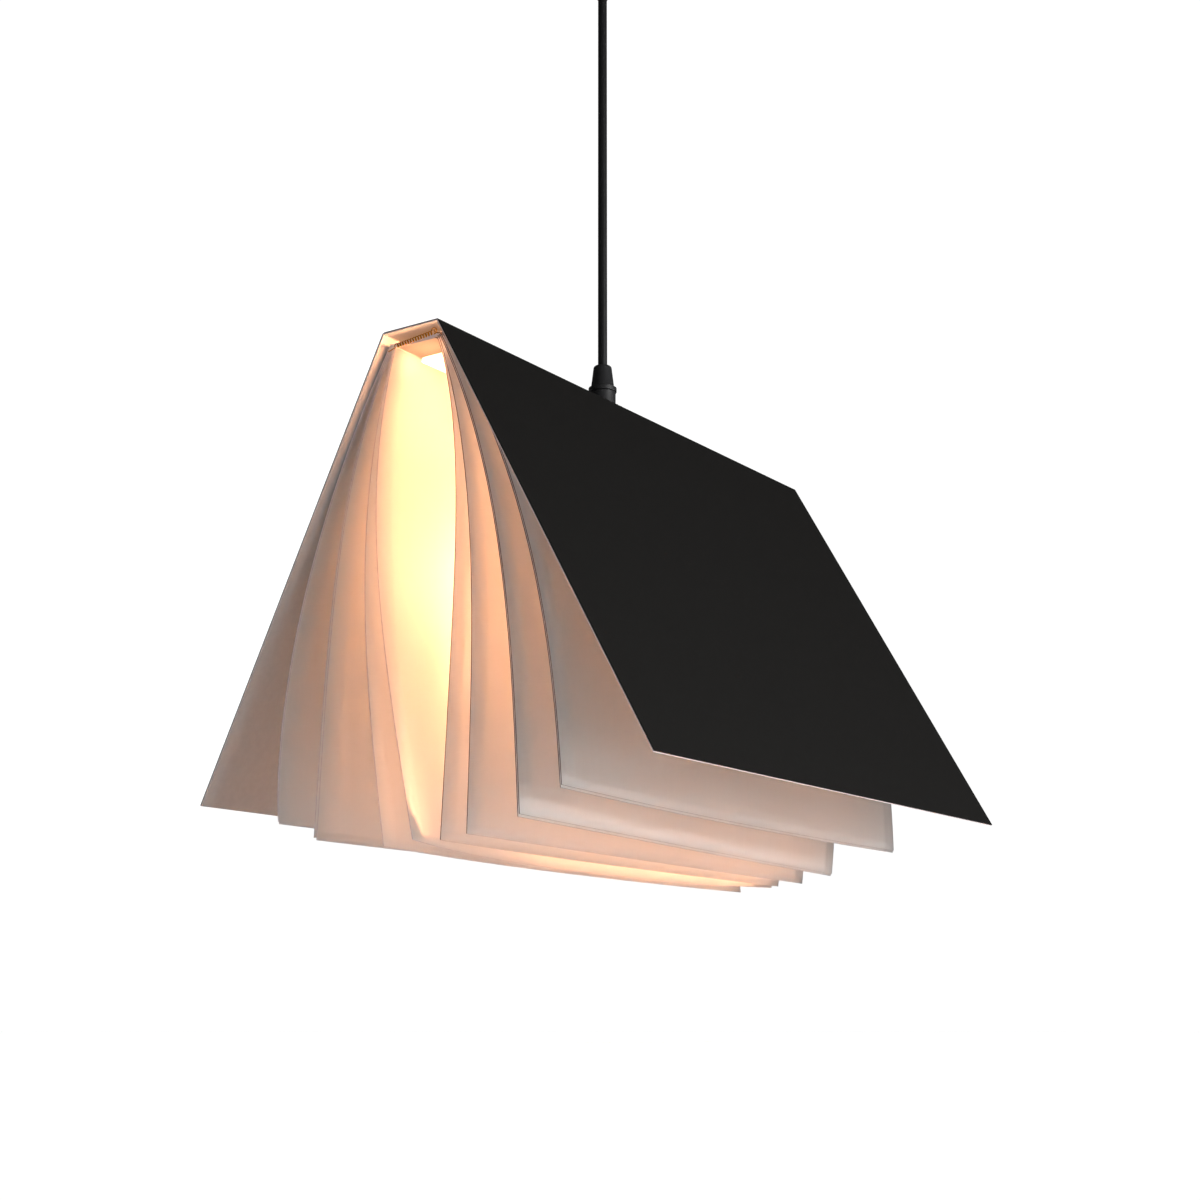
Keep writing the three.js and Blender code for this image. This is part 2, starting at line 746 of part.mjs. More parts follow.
// Binding springs: coils that lie across the stack's front and back edges, with a hook at the left
// end and a ring at the right one. A link joins the ring to the crease of the outermost sheet.

const springPlace = PAGE_DEPTH / 2 + FIT + SPRING_DIAMETER / 2;
const coilRadius = (SPRING_DIAMETER - SPRING_WIRE) / 2;
const coilLength = SPRING_CURLS * SPRING_PITCH;
const springStart = -INNER_HALF_WIDTH + SPRING_INSET;
const coilEnd = springStart + coilLength;
const ringRadius = (SPRING_RING - SPRING_WIRE) / 2;
const outerCrease = crease(SHEETS - 1).x;

// The coil's axis climbs a little from its left end to its right one
function coilHeight(x) {
  const middle = stackTop - (SHEETS * PAGE_THICKNESS) / 2;
  return middle + SPRING_RISE * ((x - springStart) / coilLength - 0.5);
}

const ringX = coilEnd + ringRadius;
const ringZ = coilHeight(coilEnd) - coilRadius + ringRadius;

function springPoints() {
  const coil = Array.from({ length: SPRING_CURLS * CURL_STEPS + 1 }, (_, i) => {
    const angle = (i * TURN) / CURL_STEPS;
    const x = springStart + (i * SPRING_PITCH) / CURL_STEPS;
    return [x, -coilRadius * Math.sin(angle), coilHeight(x) - coilRadius * Math.cos(angle)];
  });
  const ring = Array.from({ length: RING_TURN_SHARE * RING_STEPS }, (_, i) => {
    const angle = Math.PI - ((i + 1) * TURN) / RING_STEPS;
    return [ringX + ringRadius * Math.cos(angle), 0, ringZ + ringRadius * Math.sin(angle)];
  });
  const low = coilHeight(springStart) - coilRadius;
  const hook = [
    [-outerCrease, 0, low - 2 * SPRING_WIRE],
    [springStart - 3 * SPRING_WIRE, 0, low - SPRING_WIRE / 2],
    [springStart - SPRING_WIRE, 0, low],
  ];
  return [...hook, ...coil, ...ring];
}

// An S-shaped link: it goes round the ring's right side from front to back, and on to the crease.
// Its places lie across, out from and up from the ring's middle, as shares of the ring's radius, of
// the space that the wire needs and of the radius again.
const linkShares = [
  [1.25, -1, 0.2],
  [0.75, -1, -0.05],
  [0.3, 0, -0.2],
  [0.75, 1, -0.5],
  [1.5, 0.5, -0.8],
];
const linkEndShares = [-1.2, -1.8];

function linkPoints() {
  const clear = 1.5 * SPRING_WIRE;
  const round = linkShares.map(([across, out, up]) => [
    ringX + across * ringRadius,
    out * clear,
    ringZ + up * ringRadius,
  ]);
  const [before, after] = linkEndShares.map((up) => ringZ + up * ringRadius);
  return [...round, [outerCrease - SPRING_WIRE, 0, before], [outerCrease + SPRING_WIRE, 0, after]];
}

// The least distance between parts of the wire that lie more than half a curl apart
function selfGap(points) {
  const apart = CURL_STEPS / 2 + 1;
  let least = Infinity;
  points.forEach((point, i) => {
    points.slice(i + apart).forEach((other) => {
      least = Math.min(least, Math.hypot(...point.map((value, k) => value - other[k])));
    });
  });
  return least - SPRING_WIRE;
}

const springLine = springPoints();
console.log(`spring: least gap to itself ${selfGap(springLine).toFixed(2)} mm`);

function springWire(line, end, steps) {
  const points = line.map(([x, y, z]) => new THREE.Vector3(x, end * (springPlace - y), z));
  return wire(points, SPRING_WIRE, WIRE_SIDES, steps);
}

for (const [place, end] of [["front", -1], ["rear", 1]]) {
  const steps = SPRING_CURLS * CURL_STEPS + 2 * RING_STEPS;
  add(book, `spring_${place}`, springWire(springLine, end, steps), brass);
  add(book, `spring_link_${place}`, springWire(linkPoints(), end, 2 * RING_STEPS), brass);
}

// Lampholder

const holderTop = plateBottom - FIT;
const holderBottom = holderTop - HOLDER_LENGTH;
const holderRadius = HOLDER_DIAMETER / 2;
const sleeveTop = holderTop - CAP_SHOULDER;
const sleeveInner = holderRadius - HOLDER_WALL;
const skirtOuter = sleeveInner - FIT;
const skirtInner = skirtOuter - HOLDER_WALL;
const skirtBottom = sleeveTop - CAP_SKIRT;
const insertBottom = holderTop - INSERT_DEPTH;
const insertTop = insertBottom + INSERT_HEIGHT;
const tongueTop = insertBottom - FIT;
const tongueBottom = tongueTop - TONGUE_THICKNESS;
const bulbRadius = CAP_THREAD / 2;
const socketRadius = bulbRadius + FIT;

// The cap's dome runs through points at these shares of its shoulder
const domeShares = [0.3, 0.6, 0.85, 1];

function holderCap() {
  const top = CAP_TOP_DIAMETER / 2;
  const dome = domeShares.map((share) => [
    top + (holderRadius - top) * Math.sin((share * Math.PI) / 2),
    holderTop - (CAP_SHOULDER - FIT) * share,
  ]);
  const under = holderTop - HOLDER_WALL;
  return turned([
    [NECK_BORE / 2, under],
    [NECK_BORE / 2, NECK_HEIGHT],
    [neckRadius, NECK_HEIGHT],
    [neckRadius, holderTop],
    [top, holderTop],
    ...dome,
    [skirtOuter, sleeveTop + FIT],
    [skirtOuter, skirtBottom],
    [skirtInner, skirtBottom],
    [skirtInner, sleeveTop + CAP_SHOULDER / 2],
    [top - HOLDER_WALL, under],
    [NECK_BORE / 2, under],
  ].reverse());
}

// A sleeve with grip flutes along its lower half and an inner rim
function holderSleeve() {
  const lip = socketRadius + THREAD_DEPTH + SHELL_THICKNESS + FIT;
  const fluteTop = (sleeveTop + holderBottom) / 2;
  const sleeve = turned(
    [
      [sleeveInner, holderBottom + HOLDER_RIM],
      [sleeveInner, sleeveTop],
      [holderRadius, sleeveTop],
      [holderRadius, holderBottom + HOLDER_RIM],
      [holderRadius - HOLDER_RIM / 2, holderBottom],
      [lip - SHELL_THICKNESS, holderBottom],
      [lip - SHELL_THICKNESS, holderBottom + HOLDER_RIM / 2],
      [lip, holderBottom + HOLDER_RIM / 2],
      [lip, holderBottom + HOLDER_RIM],
      [sleeveInner, holderBottom + HOLDER_RIM],
    ].reverse(),
    2 * HOLDER_RIBS,
  );
  const flutes = Array.from({ length: HOLDER_RIBS }, (_, i) =>
    pin(HOLDER_WALL, holderBottom + HOLDER_RIM, fluteTop, holderRadius + HOLDER_WALL / 2, 0, 8)
      .rotateZ(((i + 0.5) * TURN) / HOLDER_RIBS),
  );
  return cut(sleeve, ...flutes);
}

// Screw turns from a top down, as [radius, height]
function threadLine(root, crest, top, turns) {
  return Array.from({ length: turns * 2 + 1 }, (_, i) => [
    i % 2 ? crest : root,
    top - (i * THREAD_PITCH) / 2,
  ]);
}

function threadTube(root, crest, top, turns, sheet, collar = []) {
  const outer = threadLine(root, crest, top, turns);
  const inner = outer.map(([radius, height]) => [radius - sheet, height]).reverse();
  const below = collar.map(([radius, height]) => [radius - sheet, height]).reverse();
  return turned([...outer, ...collar, ...below, ...inner, outer[0]].reverse(), THREAD_SEGMENTS);
}

function holderInsert() {
  const radius = skirtInner - FIT;
  const bore = TIP_DIAMETER / 4;
  const body = ring(radius, bore, insertBottom, insertTop);
  const wellBottom = insertBottom + INSERT_HEIGHT / 2;
  const wells = [-1, 1].map((side) =>
    pin(bore, wellBottom, insertTop + OVERRUN, 0, (side * radius) / 2),
  );
  return cut(body, ...wells);
}

const socketTop = insertBottom - FIT;
const socket = threadTube(
  socketRadius + SHELL_THICKNESS,
  socketRadius + SHELL_THICKNESS + THREAD_DEPTH,
  socketTop,
  SOCKET_TURNS,
  SHELL_THICKNESS,
);

add(lamp, "holder_cap", holderCap(), blackPlastic);
add(lamp, "holder_sleeve", holderSleeve(), blackPlastic);
add(lamp, "holder_insert", holderInsert(), creamCeramic);
add(lamp, "holder_thread", socket, brass);
add(
  lamp,
  "holder_contact",
  block(TONGUE_LENGTH, TONGUE_WIDTH, TONGUE_THICKNESS, 0, 0, tongueTop - TONGUE_THICKNESS / 2),
  brass,
);
add(
  lamp,
  "lamp_cord_tail",
  pin(CORD_DIAMETER / 2, insertTop + FIT, coneTop - spineTop, 0, 0, CORD_SIDES),
  blackRubber,
);

// Bulb

const tipTop = tongueBottom - FIT;
const tipBottom = tipTop - TIP_HEIGHT;
const capTop = tipBottom - INSULATOR_HEIGHT;
const threadEnd = capTop - CAP_TURNS * THREAD_PITCH;
const capBottom = threadEnd - CAP_COLLAR;

function bulbCap() {
  const root = bulbRadius - THREAD_DEPTH;
  return threadTube(root, bulbRadius, capTop, CAP_TURNS, CAP_THICKNESS, [
    [root, threadEnd - CAP_COLLAR / 2],
    [bulbRadius, capBottom],
  ]);
}

function bulbInsulator() {
  const root = bulbRadius - THREAD_DEPTH;
  return turned([
    [0, capTop + FIT],
    [root, capTop + FIT],
    [INSULATOR_DIAMETER / 2, tipBottom],
    [0, tipBottom],
  ]);
}

function bulbTip() {
  return turned(
    [
      [0, tipBottom + FIT],
      [TIP_DIAMETER / 2, tipBottom + FIT],
      [TIP_DIAMETER / 3, tipTop],
      [0, tipTop],
    ],
    16,
  );
}

// A round globe on a short neck, which reaches into the cap
function bulbGlobe() {
  const radius = GLOBE_DIAMETER / 2;
  const neckTop = capBottom - FIT;
  const centre = neckTop - GLOBE_LENGTH + radius;
  const shell = (wall, steps) => {
    const neck = GLOBE_NECK / 2 - wall;
    const start = Math.asin(neck / (radius - wall));
    return Array.from({ length: steps + 1 }, (_, i) => {
      const angle = start + ((Math.PI - start) * i) / steps;
      const reach = i === steps ? 0 : (radius - wall) * Math.sin(angle);
      return [reach, centre + (radius - wall) * Math.cos(angle)];
    });
  };
  const outer = [[GLOBE_NECK / 2, neckTop], ...shell(0, 14)];
  const inner = [[GLOBE_NECK / 2 - GLOBE_WALL, neckTop], ...shell(GLOBE_WALL, 8)];
  return turned([...outer, ...inner.reverse(), outer[0]].reverse(), 28);
}

add(lamp, "bulb_cap", bulbCap(), zincSteel);
add(lamp, "bulb_insulator", bulbInsulator(), blackPlastic);
add(lamp, "bulb_tip", bulbTip(), zincSteel);
add(lamp, "bulb_globe", bulbGlobe(), opalGlass);

export default light;
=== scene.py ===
# Open-book pendant light: a black cover and six folded frosted sheets hang by their spine from a
# cord, and one bulb between the innermost pages shines through them. Metres, +Z up, and the origin
# is the middle of the ceiling bracket's top face.

import math

import bmesh
import bpy
from mathutils import Matrix, Vector


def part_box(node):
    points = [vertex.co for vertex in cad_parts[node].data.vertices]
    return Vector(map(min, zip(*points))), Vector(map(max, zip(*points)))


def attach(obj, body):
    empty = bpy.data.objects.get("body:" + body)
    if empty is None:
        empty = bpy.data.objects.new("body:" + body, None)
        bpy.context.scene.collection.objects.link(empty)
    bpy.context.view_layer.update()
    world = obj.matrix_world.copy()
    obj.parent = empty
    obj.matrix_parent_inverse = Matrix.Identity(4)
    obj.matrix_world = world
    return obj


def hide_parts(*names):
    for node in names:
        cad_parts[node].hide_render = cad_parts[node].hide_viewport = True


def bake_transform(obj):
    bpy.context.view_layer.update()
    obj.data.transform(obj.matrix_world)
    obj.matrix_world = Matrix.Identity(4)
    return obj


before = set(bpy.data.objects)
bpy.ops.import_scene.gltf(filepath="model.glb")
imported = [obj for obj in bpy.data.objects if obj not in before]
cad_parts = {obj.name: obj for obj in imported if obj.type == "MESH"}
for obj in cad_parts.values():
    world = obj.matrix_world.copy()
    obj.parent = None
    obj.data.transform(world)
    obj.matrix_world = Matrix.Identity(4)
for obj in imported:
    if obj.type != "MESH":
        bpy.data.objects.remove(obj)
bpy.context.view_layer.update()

MM = 0.001
QUARTER = math.pi / 2
TURN = 2 * math.pi

# Camera, as the picture was taken
CAMERA_PLACE = Vector((663.9, -973.3, -761.6)) * MM
CAMERA_RIGHT = Vector((0.8253, 0.5647, 0.0))
CAMERA_UP = Vector((0.12576, -0.18380, 0.97490))
CAMERA_SENSOR = 36
CAMERA_LENS = 56.53

# Cord
CORD_DIAMETER = 6.1 * MM
CORD_SMOOTHNESS = 8
CORD_ROUTE_MM = [
    (0, 0, -67.1), (0, 0, -84), (0, 0, -102), (0, 0, -120), (0, 0, -138), (0, 0, -156),
    (0, 0, -174), (0, 0, -192), (0, 0, -210), (0, 0, -228), (0, 0, -246),
    (0, 0, -264), (0, 0, -282), (0, 0, -300), (0, 0, -318), (0, 0, -334.1),
]

# Cover: the same folded sheet as in the frame, black outside and pale inside
RIGHT_LEAN = math.radians(29.1)
LEFT_LEAN = math.radians(26.4)
SPINE_HALF = 20.45 * MM
COVER_FLAP = 296 * MM
RIGHT_FOLD_RADIUS = 1.5 * MM
LEFT_FOLD_RADIUS = 2.5 * MM
FOLD_STEPS = 8

# The hole for the holder's neck through the spine and the page strips
NECK_HOLE_RADIUS = 8.9 * MM
HOLE_STEPS = 48

# Pages: how each leaf hangs, from the innermost pair to the outermost, as in the frame. Root and
# tips are degrees from the vertical, with the tips at the leaf's front, middle and back, and fade
# is the power by which its lean goes from the one to the other.
PAGE_LEAF = 290 * MM
CREASE_GAP = 0.4 * MM
INNER_CREASE_RADIUS = 3.2 * MM
CREASE_RADIUS = 1.4 * MM
CREASE_STEPS = 6
LEAF_ROWS = 48
LEAF_COLUMNS = 26
ROW_PARTS = 3
RIGHT_LEAVES = [
    {"root": 20.6, "fade": 4.1, "tips": (-2.8, -7.8, -8.3), "length_share": 0.993},
    {"root": 20.8, "fade": 2.4, "tips": (-1.3, -4.2, -7.1), "length_share": 0.991},
    {"root": 28.1, "fade": 1.85, "tips": (3.2, -1.5, -6.6), "length_share": 0.988},
    {"root": 28.1, "fade": 1.85, "tips": (3.3, -1.4, -6.5), "length_share": 0.985},
    {"root": 34.4, "fade": 1.24, "tips": (4.0, 0.4, 0.2), "length_share": 0.973},
    {"root": 34.4, "fade": 1.24, "tips": (4.1, 0.5, 0.3), "length_share": 0.97},
]
LEFT_LEAVES = [
    {"root": 17.4, "fade": 2.4, "tips": (-13.1, -4.4, -10.8), "length_share": 0.997},
    {"root": 18.4, "fade": 1.9, "tips": (-10.0, -4.0, -6.0), "length_share": 1.004},
    {"root": 29.4, "fade": 2.7, "tips": (2.2, 2.4, 2.2), "length_share": 0.997},
    {"root": 29.4, "fade": 2.7, "tips": (2.6, 2.8, 2.6), "length_share": 0.994},
    {"root": 30.5, "fade": 0.66, "tips": (-7.6, -9.6, -9.2), "length_share": 0.99},
    {"root": 30.5, "fade": 0.66, "tips": (-7.4, -9.4, -9.0), "length_share": 0.987},
]

# Binding springs: coils across both ends of the stack, each with a hook, a ring and a link
SPRING_WIRE = 0.6 * MM
SPRING_COIL_RADIUS = 1.1 * MM
SPRING_PITCH = 1.9 * MM
SPRING_CURLS = 14
SPRING_START = -14.4 * MM
SPRING_RISE = 2.4 * MM
SPRING_RING_RADIUS = 1.9 * MM
SPRING_PLACE = 205.7 * MM
OUTER_CREASE = 19.6 * MM
CURL_STEPS = 12
RING_STEPS = 12
RING_STEPS_MADE = 9
WIRE_SMOOTHNESS = 3

# Where the link threads the ring: across, out from and up from the ring's middle, as shares of the
# ring's radius, of the room that the wire needs and of the radius again. Then its two ends at the
# outer crease: across it in wires, and down in shares of the radius.
LINK_ROOM = 1.5 * SPRING_WIRE
LINK_PLACES = [
    (1.25, -1, 0.2), (0.75, -1, -0.05), (0.3, 0, -0.2), (0.75, 1, -0.5), (1.5, 0.5, -0.8),
]
LINK_ENDS = [(-1, 1.2), (1, 1.8)]

# Places that the frame gives
spine_low, spine_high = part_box("cover_spine")
SPINE_TOP = spine_high.z
COVER_SHEET = spine_high.z - spine_low.z
COVER_FRONT = spine_low.y
COVER_BACK = spine_high.y
BOOK_MIDDLE = (COVER_FRONT + COVER_BACK) / 2
strip_low, strip_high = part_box("page_strip_1")
PAGE_FRONT = strip_low.y
PAGE_BACK = strip_high.y
PAGE_SHEET = strip_high.z - strip_low.z

# Finishing
MERGE_DISTANCE = 0.001 * MM
PROFILE_TOLERANCE = 0.01 * MM
FLAT_ANGLE = math.radians(1)
SHARP_ANGLE = math.radians(35)
EDGE_WIDTH = 0.25 * MM
COVER_EDGE_WIDTH = 0.2 * MM
EDGE_SEGMENTS = 2
TURNED_STEPS = 96
SHEET_SCATTER = 0.2

# Light: the lamp's own warm glow, and the white studio round it. The page glows are flat lights
# between the two inner leaves, beside the bulb's own light.
LAMP_COLOUR = (1, 0.44, 0.2)
WHITE_LIGHT = (1, 1, 1)
WHITE = (1, 1, 1, 1)
BULB_STRENGTH = 150
LEFT = (-1, 0, 0)
RIGHT = (1, 0, 0)
UP = (0, 0, 1)
AHEAD = (0, -1, 0)
PAGE_GLOWS = [
    {"place": (0, -0.105, -0.4055), "facing": LEFT, "size": (0.17, 0.045), "power": 0.42},
    {"place": (0, -0.105, -0.48), "facing": LEFT, "size": (0.17, 0.1), "power": 0.42},
    {"place": (0, -0.085, -0.54), "facing": LEFT, "size": (0.04, 0.14), "power": 2},
    {"place": (0, -0.105, -0.565), "facing": LEFT, "size": (0.17, 0.07), "power": 0.03},
    {"place": (0, -0.105, -0.63), "facing": LEFT, "size": (0.17, 0.05), "power": 0.04},
    {"place": (0, -0.176, -0.595), "facing": LEFT, "size": (0.024, 0.125), "power": 0.04},
    {"place": (0, 0.135, -0.63), "facing": LEFT, "size": (0.17, 0.05), "power": 0.25},
    {"place": (0, 0.08, -0.652), "facing": LEFT, "size": (0.24, 0.016), "power": 0.34},
    {"place": (0, -0.105, -0.5), "facing": RIGHT, "size": (0.17, 0.16), "power": 0.04},
    {"place": (0, 0.135, -0.565), "facing": RIGHT, "size": (0.17, 0.07), "power": 0.03},
    {"place": (0, -0.178, -0.39), "facing": UP, "size": (0.024, 0.02), "power": 0.1},
    {"place": (0, -0.1, -0.3714), "facing": AHEAD, "size": (0.03, 0.003), "power": 2.6},
]
SOFT_BOXES = [
    {"place": (1.8, 0.15, -0.42), "facing": (-1.7, -0.15, -0.22), "size": (0.9, 0.3), "power": 35},
    {"place": (1.5, 0, -0.9), "facing": (-1.4, 0, 0.26), "size": (0.9, 0.2), "power": 5},
    {"place": (0.45, -0.9, -1.3), "facing": (-0.45, 0.8, 0.75), "size": (0.5, 0.3), "power": 1.8},
]
SKY_SEEN = 1.05
SKY_STRENGTH = 0.03
OVERHEAD_STRENGTH = 1.0
OVERHEAD_ANGLE = math.radians(40)
FLOOR_HEIGHT = -0.768
FLOOR_REACH = 30
FLOOR_GREY = (0.85, 0.85, 0.85, 1)
FLOOR_GLOW = 0.7
LIGHT_BOUNCES = 24


# Camera, then the cord

def placed(name, data):
    made = bpy.data.objects.new(name, data)
    bpy.context.scene.collection.objects.link(made)
    return made


def make_camera():
    data = bpy.data.cameras.new("camera")
    data.sensor_width = CAMERA_SENSOR
    data.lens = CAMERA_LENS
    camera = placed("camera", data)
    back = CAMERA_RIGHT.cross(CAMERA_UP)
    turned_to = Matrix((CAMERA_RIGHT, CAMERA_UP, back)).transposed().to_4x4()
    camera.matrix_world = Matrix.Translation(CAMERA_PLACE) @ turned_to
    bpy.context.scene.camera = camera


def round_curve(name, diameter, smoothness, material):
    """A curve with no line yet, round in section and closed at its ends."""
    curve = bpy.data.curves.new(name, "CURVE")
    curve.dimensions = "3D"
    curve.bevel_depth = diameter / 2
    curve.bevel_resolution = smoothness
    curve.use_fill_caps = True
    curve.materials.append(material)
    return curve


def straight_tube(name, points, diameter, material):
    curve = round_curve(name, diameter, CORD_SMOOTHNESS, material)
    line = curve.splines.new("POLY")
    line.points.add(len(points) - 1)
    for spot, place in zip(line.points, points):
        spot.co = (*place, 1)
    line.use_smooth = True
    return placed(name, curve)


# Materials

def linear(colour):
    """A colour written as sRGB hex, as linear light."""
    parts = [int(colour[i:i + 2], 16) / 255 for i in (1, 3, 5)]
    return tuple(p / 12.92 if p <= 0.04045 else ((p + 0.055) / 1.055) ** 2.4 for p in parts) + (1,)


def add_node(tree, kind, settings=None, sockets=None):
    """Adds a node with its settings, and sets or links its sockets."""
    made = tree.nodes.new(kind)
    for name, value in (settings or {}).items():
        setattr(made, name, value)
    for name, value in (sockets or {}).items():
        if isinstance(value, bpy.types.NodeSocket):
            tree.links.new(value, made.inputs[name])
        else:
            made.inputs[name].default_value = value
    return made


def blank_material(name):
    material = bpy.data.materials.new(name)
    material.use_nodes = True
    material.node_tree.nodes.clear()
    return material, material.node_tree


def show(tree, shader):
    add_node(tree, "ShaderNodeOutputMaterial", sockets={"Surface": shader})


def varied(tree, pattern, first, second, low=0.35, high=0.65):
    """A colour that wanders between two as a pattern does."""
    ramp = add_node(tree, "ShaderNodeValToRGB", sockets={"Fac": pattern})
    ramp.color_ramp.elements[0].position = low
    ramp.color_ramp.elements[0].color = linear(first)
    ramp.color_ramp.elements[1].position = high
    ramp.color_ramp.elements[1].color = linear(second)
    return ramp.outputs["Color"]


def grain(tree, size, detail=2, stretch=(1, 1, 1)):
    """Noise on the object's own coordinates whose grains are about size across."""
    place = add_node(tree, "ShaderNodeTexCoord").outputs["Object"]
    mapped = add_node(tree, "ShaderNodeMapping", sockets={"Vector": place, "Scale": stretch})
    return add_node(
        tree, "ShaderNodeTexNoise",
        sockets={"Vector": mapped.outputs["Vector"], "Scale": 1 / size, "Detail": detail},
    ).outputs["Fac"]


def raised(tree, pattern, height):
    return add_node(
        tree, "ShaderNodeBump", sockets={"Height": pattern, "Strength": 1, "Distance": height}
    ).outputs["Normal"]


def solid_material(name, first, second, size, roughness, bump, metallic=0, extras=None):
    """An opaque finish: two near shades and a fine relief in one grain."""
    material, tree = blank_material(name)
    pattern = grain(tree, size)
    shader = add_node(
        tree, "ShaderNodeBsdfPrincipled",
        sockets={
            "Base Color": varied(tree, pattern, first, second),
            "Roughness": roughness,
            "Metallic": metallic,
            "Normal": raised(tree, pattern, bump),
            **(extras or {}),
        },
    )
    show(tree, shader.outputs["BSDF"])
    return material


def frosted_polypropylene():
    """Extruded matt sheet: it passes light on mostly forward, blurs it in its rough faces and
    scatters the rest both ways, so the eye sees a soft glow and not the bulb. Its haze runs in
    faint streaks, drawn 6 mm across because the real ones are too fine to show."""
    material, tree = blank_material("frosted_polypropylene")
    streaks = grain(tree, 6 * MM, detail=3, stretch=(1, 1, 0.06))
    tint = varied(tree, streaks, "#fbfaf9", "#fdfcfb", 0.3, 0.7)
    front = add_node(
        tree, "ShaderNodeBsdfPrincipled",
        sockets={"Base Color": tint, "Roughness": 0.8, "IOR": 1.4, "Transmission Weight": 0.97},
    )
    through = add_node(tree, "ShaderNodeBsdfTranslucent", sockets={"Color": tint})
    both = add_node(tree, "ShaderNodeMixShader", sockets={"Fac": SHEET_SCATTER})
    tree.links.new(front.outputs["BSDF"], both.inputs[1])
    tree.links.new(through.outputs["BSDF"], both.inputs[2])
    show(tree, both.outputs["Shader"])
    return material


def bulb_glass():
    """Opal glass, coated white inside: when lit, the eye sees one evenly bright globe."""
    material, tree = blank_material("opal_bulb_glass")
    haze = grain(tree, 9 * MM)
    shader = add_node(
        tree, "ShaderNodeBsdfPrincipled",
        sockets={
            "Base Color": varied(tree, haze, "#fff3dc", "#fff8ea"),
            "Roughness": 0.25,
            "Emission Color": (*LAMP_COLOUR, 1),
            "Emission Strength": BULB_STRENGTH,
        },
    )
    show(tree, shader.outputs["BSDF"])
    return material


# Soft PVC from a die: a dull black with a narrow line of light along it. The die's lines are too
# fine to show, so the unevenness is drawn 1.5 mm across.
cord_rubber = solid_material("cord_sheath_pvc", "#151516", "#1a1a1b", 1.5 * MM, 0.35, 0.01 * MM)

# Nylon from a textured mould: a greyer black with a soft sheen. The mould's texture is too fine to
# show, so it is drawn 0.8 mm across.
black_nylon = solid_material("moulded_black_nylon", "#1f1f20", "#252526", 0.8 * MM, 0.42, 0.02 * MM)

# Polypropylene sheet printed black: deep and flat, with almost no highlight
cover_black = solid_material(
    "printed_black_polypropylene", "#100f0e", "#131211", 2.5 * MM, 0.55, 0.006 * MM,
    extras={"Specular IOR Level": 0.2},
)

# The same sheet's bare inner face: a plain matt grey that takes the pages' warm light
cover_pale = solid_material("cover_lining", "#9ea0a1", "#a2a4a5", 4 * MM, 0.5, 0.01 * MM)

# The sheet's cut edge: a thin pale line round the black
cover_rim = solid_material("cover_cut_edge", "#e3d3d3", "#efe2e2", 2 * MM, 0.35, 0.01 * MM)

# The pages, and their cut edges: thin pale lines on the left-hand leaves, and thin darker ones on
# the right-hand leaves, as in the picture, where the darker colour is painted shade.
page_frost = frosted_polypropylene()
page_rim = solid_material("sheet_cut_edge", "#e6dfe6", "#f2ecf0", 3 * MM, 0.3, 0.004 * MM)
# Painted shade: the same cut edge as the pale rim, darkened for the right-hand leaves
page_rim_painted_shade = solid_material(
    "sheet_cut_edge_painted_shade", "#7c6a6c", "#867375", 3 * MM, 0.4, 0.004 * MM
)

# Fired enamel on steel: a warm white with a faint ripple under its shine
white_enamel = solid_material(
    "white_enamelled_steel", "#efeae0", "#f4f0e8", 1.2 * MM, 0.4, 0.02 * MM
)

# Drawn brass: a yellow metal with soft bright lines. Its draw marks are too fine to show, so its
# shades are drawn 0.6 mm across.
brass = solid_material("drawn_brass_wire", "#b98a3a", "#d0a24c", 0.6 * MM, 0.25, 0.004 * MM, 1)

# Nickel plate on brass: a pale, slightly warm metal, smoother than the wire
nickel = solid_material("nickel_plated_brass", "#b9b6ad", "#c9c6bf", 0.8 * MM, 0.22, 0.004 * MM, 1)

# Zinc plate on steel: a cool grey metal with faint clouds
zinc = solid_material("zinc_plated_steel", "#a7abb0", "#c0c4c8", 4 * MM, 0.38, 0.006 * MM, 1)

# Powder coat: an even black with a pebbled skin, drawn 0.9 mm across because the real pebbles are
# too fine to show
powder_coat = solid_material("black_powder_coat", "#101010", "#171717", 0.9 * MM, 0.5, 0.03 * MM)

# Glazed steatite: a cream ceramic with a quiet shine
ceramic = solid_material("glazed_steatite", "#e2dac8", "#ebe4d4", 2 * MM, 0.3, 0.01 * MM)

# Core insulation of extruded PVC: plain brown and blue with a slight shine
brown_pvc = solid_material("brown_core_pvc", "#4f2d1a", "#5d3823", 1 * MM, 0.4, 0.005 * MM)
blue_pvc = solid_material("blue_core_pvc", "#24467f", "#2f5598", 1 * MM, 0.4, 0.005 * MM)

# Cast black glass in the bulb's cap: near black with a sharp shine
black_glass = solid_material(
    "black_glass_insulator", "#0b0b0d", "#121216", 1 * MM, 0.12, 0.002 * MM
)
opal_glass = bulb_glass()

make_camera()
cord_points = [Vector(place) * MM for place in CORD_ROUTE_MM]
cord = straight_tube("supply_cord_sheath", cord_points, CORD_DIAMETER, cord_rubber)
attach(cord, "cord")
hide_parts("supply_cord")


# Making pieces

def piece(name, bm, materials, body, nodes):
    """A finished mesh that stands for the named nodes of the frame. It is attached to a body when
    one is given, and left loose when the body is None."""
    mesh = bpy.data.meshes.new(name)
    bm.to_mesh(mesh)
    bm.free()
    for material in materials:
        mesh.materials.append(material)
    mesh.shade_smooth()
    mesh.set_sharp_from_angle(angle=SHARP_ANGLE)
    made = placed(name, mesh)
    if body:
        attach(made, body)
    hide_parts(*nodes)
    return made


def bevelled(made, width):
    modifier = made.modifiers.new("edges", "BEVEL")
    modifier.width = width
    modifier.segments = EDGE_SEGMENTS
    modifier.limit_method = "ANGLE"
    modifier.angle_limit = SHARP_ANGLE
    modifier.harden_normals = False
    return made


